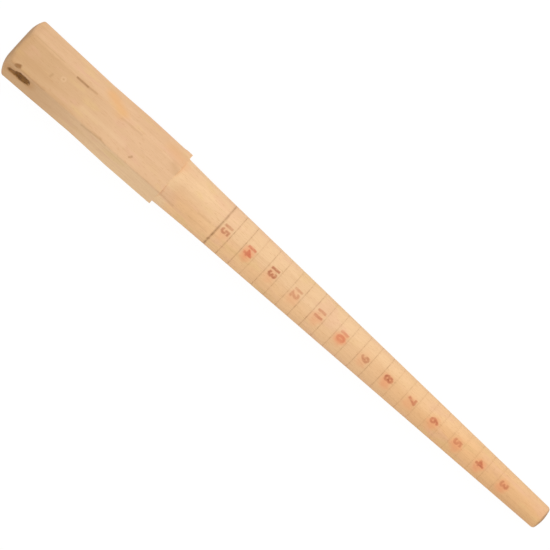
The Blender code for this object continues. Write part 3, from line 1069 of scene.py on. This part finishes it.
SCALE_INK, tree, shader = new_material("scale_ink", 0.65)
place = stick_space(tree)
taken = add_node(tree, "ShaderNodeAttribute", out="Fac", attribute_name="ink")
worn = ramp(noise(place, (500.0, 900.0, 900.0), shift=6.0, detail=3.0), 0.30, 0.60)
order = nearest_number(split(place)[0])[0]
ink = blend(pick(order + 1, (0.0, *INK_BROWNED, 0.0)), INK_RED, INK_BROWN)
soaked = blend(taken * at_least(0.60, worn) * INK_STRENGTH, wood_colour(tree), ink)
pooled = ramp(noise(place, (380.0, 600.0, 600.0), shift=14.0), 0.50, 0.66) * ramp(taken, 0.55, 0.95)
tree.links.new(blend(pooled * POOL_STRENGTH, soaked, INK_DEEP).socket, shader.inputs["Base Color"])
print("the ink covers", round(INK_STRENGTH * max(INK_TAKEN) * 100), "% where a number is strongest")

# %% The tree that writes the numbers
DIGIT_HEIGHT = 0.0041
DIGIT_SHARE_OF_TEXT = 0.69
NUMBER_COUNT = LARGEST_SIZE - SMALLEST_SIZE + 1

tree, size = new_tree("Numbers of the scale", {
    "Numbers": NUMBER_COUNT,
    "Largest size": LARGEST_SIZE,
    "First number": FIRST_NUMBER,
    "Pitch": NUMBER_PITCH,
    "Text size": DIGIT_HEIGHT / DIGIT_SHARE_OF_TEXT,
    "Creep of the ink": 0.00070,
    "Sheet length": 0.0066,
    "Sheet width": 0.0090,
    "Rows": 56,
    "Columns": 76,
    "Film": 0.00005,
    "Sunk": 0.00006,
    "Rise": 0.00005,
})
spots = row_of_points(size, "Numbers", "First number")
visit = tree.nodes.new("GeometryNodeForeachGeometryElementInput")
gather = tree.nodes.new("GeometryNodeForeachGeometryElementOutput")
visit.pair_with_output(gather)
gather.domain = "POINT"
gather.input_items.new("VECTOR", "Spot")
tree.links.new(spots.socket, visit.inputs["Geometry"])
tree.links.new(add_node(tree, "GeometryNodeInputPosition").socket, visit.inputs["Spot"])
order = Wire(tree, visit.outputs["Index"])
spot = Wire(tree, visit.outputs["Spot"])

text = add_node(tree, "FunctionNodeValueToString", {"Value": size["Largest size"] - order})
centred = {"align_x": "CENTER", "align_y": "MIDDLE"}
letters = add_node(tree, "GeometryNodeStringToCurves", {"String": text, "Size": size["Text size"]}, **centred)
outlines = add_node(tree, "GeometryNodeRealizeInstances", [letters])
filled = add_node(tree, "GeometryNodeFillCurve", [outlines])
print(NUMBER_COUNT, "numbers, with digits", round(DIGIT_HEIGHT * 1000, 1), "mm high")


# %% Setting the type down by hand, and letting its ink creep
def by_hand(amount, seed):
    """A small random amount, up or down, that differs from number to number."""
    feeds = {"Min": -amount, "Max": amount, "ID": order, "Seed": seed}
    return add_node(tree, "FunctionNodeRandomValue", feeds, data_type="FLOAT")


TWO_DIGIT_SHIFT = 0.0009
aside = order.math("LESS_THAN", TWO_DIGITS) * TWO_DIGIT_SHIFT
slip = join(tree, by_hand(0.00025, 2), by_hand(0.0003, 3) + aside, 0.0)
tilt = join(tree, 0.0, 0.0, by_hand(math.radians(3), 4) - math.pi / 2)
type_face = add_node(tree, "GeometryNodeTransform", {
    "Geometry": filled,
    "Translation": vector(spot, "ADD", slip),
    "Rotation": add_node(tree, "FunctionNodeEulerToRotation", [tilt]),
})
sheet = add_node(tree, "GeometryNodeMeshGrid", {
    "Size X": size["Sheet length"],
    "Size Y": size["Sheet width"],
    "Vertices X": size["Rows"],
    "Vertices Y": size["Columns"],
})
laid = add_node(tree, "GeometryNodeTransform", {"Geometry": sheet, "Translation": vector(spot, "ADD", slip)})
asking = ragged(add_node(tree, "GeometryNodeInputPosition"), (900.0, 900.0, 0.0), (0.00055, 0.00055, 0.0))
distance = add_node(tree, "GeometryNodeProximity", {0: type_face, "Sample Position": asking}, out="Distance")
taken = ramp(distance, size["Creep of the ink"], 0.0) * pick(order, INK_TAKEN)
inked = add_node(tree, "GeometryNodeStoreNamedAttribute", {"Geometry": laid, "Name": "ink", "Value": taken})
dry = distance.math("GREATER_THAN", size["Creep of the ink"])
trimmed = add_node(tree, "GeometryNodeDeleteGeometry", {"Geometry": inked, "Selection": dry})
tree.links.new(trimmed.socket, gather.inputs["Geometry"])
flat_numbers = Wire(tree, gather.outputs[2])
print("numbers with two digits stand", TWO_DIGIT_SHIFT * 1000, "mm further to the side")

# %% Giving the ink its film, and taking it round the taper
raised = add_node(tree, "GeometryNodeExtrudeMesh", {
    "Mesh": flat_numbers,
    "Offset": (0.0, 0.0, 1.0),
    "Offset Scale": size["Film"],
    "Individual": False,
})
underside = add_node(tree, "GeometryNodeFlipFaces", [flat_numbers])
both = tree.nodes.new("GeometryNodeJoinGeometry")
for part in (raised, underside):
    tree.links.new(part.socket, both.inputs[0])
feeds = {"Geometry": Wire(tree, both.outputs[0]), "Distance": 0.000001}
sealed = add_node(tree, "GeometryNodeMergeByDistance", feeds)

along, sideways, height = split(add_node(tree, "GeometryNodeInputPosition"))
surface = straight_taper(along)
turn = sideways / surface
ink = add_node(tree, "GeometryNodeInputNamedAttribute", {"Name": "ink"}, data_type="FLOAT")
out = surface + height - size["Sunk"] + ramp(ink, 0.0, 0.35) * size["Rise"]
wrapped = add_node(tree, "GeometryNodeSetPosition", {
    "Geometry": sealed,
    "Position": join(tree, along, out * turn.math("SINE"), out * turn.math("COSINE")),
})
close_tree(tree, wrapped, SCALE_INK)
numbers = make_piece("numbers", tree, {"Numbers": NUMBER_COUNT})

# %% [markdown]
# ## One piece of wood
#
# Nothing on the mandrel moves, so every piece rides on its one body. The fine skin stands for the solid, and
# the solid is hidden.

# %% Tying the pieces to the solid
for piece, finish in ((stick, "bare_wood"), (scale_lines, "scribed_line"), (numbers, "scale_ink")):
    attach(piece, "root")
    print(piece.name, "rides on the one body and is finished as", finish)
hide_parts("ring_mandrel")

# %% [markdown]
# ## Floor, light and camera
#
# The photograph looks straight down on the stick, against plain white. The floor is white too. Most of its
# white is a glow that only the camera and reflections see, so it stays white without more light on the wood,
# and the rest is lit, so the stick keeps a soft shadow. Light comes from everywhere, a little more of it from
# the side of the stick that faces away from the knot.

# %% Floor
FLOOR_HALF_SIDE = 3.0
FLOOR_GAP = 0.0001
FLOOR_PALENESS = 0.62
FLOOR_GLOW = 0.85
GLOW_STRENGTH = 1.10
WHITE = (1.0, 1.0, 1.0, 1.0)


def seen_directly(tree):
    """1 for rays from the camera, and for those mirrored or passed through, and 0 for light on a surface."""
    path = tree.nodes.new("ShaderNodeLightPath")
    rays = [Wire(tree, path.outputs[f"Is {kind} Ray"]) for kind in ("Camera", "Glossy", "Transmission")]
    return rays[0].math("MAXIMUM", rays[1]).math("MAXIMUM", rays[2])


mesh = bpy.data.meshes.new("floor")
ends = (-FLOOR_HALF_SIDE, FLOOR_HALF_SIDE)
corners = [(x, y, -FLOOR_GAP) for y in ends for x in (ends if y < 0 else reversed(ends))]
mesh.from_pydata(corners, [], [(0, 1, 2, 3)])
material, tree, shader = new_material("white_floor", 0.9)
shader.inputs["Base Color"].default_value = (FLOOR_PALENESS, FLOOR_PALENESS, FLOOR_PALENESS, 1.0)
glow = add_node(tree, "ShaderNodeEmission", {"Color": WHITE, "Strength": GLOW_STRENGTH})
share = seen_directly(tree) * FLOOR_GLOW
mixed = add_node(tree, "ShaderNodeMixShader", [share, Wire(tree, shader.outputs[0]), glow])
tree.links.new(mixed.socket, tree.nodes["Material Output"].inputs["Surface"])
mesh.materials.append(material)
add_object("floor", mesh)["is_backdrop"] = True
print("the floor is", FLOOR_HALF_SIDE * 2, "m wide")

# %% Sky
SKY = 0.86
world = bpy.data.worlds.new("soft_studio")
bpy.context.scene.world = world
world.use_nodes = True
sky = world.node_tree
strength = at_least(SKY, seen_directly(sky))
sky.links.new(strength.socket, sky.nodes["Background"].inputs["Strength"])
sky.nodes["Background"].inputs["Color"].default_value = WHITE
print("the sky gives", SKY, "of a full white from all sides")

# %% Lamp
LAMP_DISTANCE = 1.2
LAMP_HEIGHT_ANGLE = math.radians(32)
LAMP_SIDE = 0.8
LAMP_POWER = 2.8

light = bpy.data.lights.new("side_window", "AREA")
light.size = LAMP_SIDE
light.energy = LAMP_POWER
lamp = add_object("side_window", light)
back = Vector((0.0, math.cos(LAMP_HEIGHT_ANGLE), math.sin(LAMP_HEIGHT_ANGLE)))
lamp.location = back * LAMP_DISTANCE
lamp.rotation_euler = back.to_track_quat("Z", "Y").to_euler()
print("the lamp is", LAMP_SIDE, "m wide and", LAMP_DISTANCE, "m away")

# %% Camera
PICTURE_WIDTH = 0.2593
PICTURE_FROM_BUTT = Vector((0.1629, 0.0, -0.0049))
STICK_SLOPE = math.radians(42.48)
CAMERA_LEAN = math.radians(2.5)
LENS = 600.0
SENSOR = 36.0

data = bpy.data.cameras.new("camera")
data.lens = LENS
data.sensor_width = SENSOR
camera = add_object("camera", data)
turn = Matrix.Rotation(-CAMERA_LEAN, 4, "X") @ Matrix.Rotation(STICK_SLOPE, 4, "Z")
distance = PICTURE_WIDTH * LENS / SENSOR
middle = LAID_DOWN.translation + PICTURE_FROM_BUTT
camera.matrix_world = Matrix.Translation(middle + turn.col[2].to_3d() * distance) @ turn
bpy.context.scene.camera = camera
bpy.context.scene.view_settings.view_transform = "Standard"
print("the picture is", round(PICTURE_WIDTH * 1000), "mm wide where the stick lies")

# %% Sizes, and the end
boxes = {"cad": [list(corner) for corner in CAD_BOX], "visual": [list(corner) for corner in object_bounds()]}
print("sizes in mm:", {name: [round((b - a) * 1000, 2) for a, b in zip(*box)] for name, box in boxes.items()})
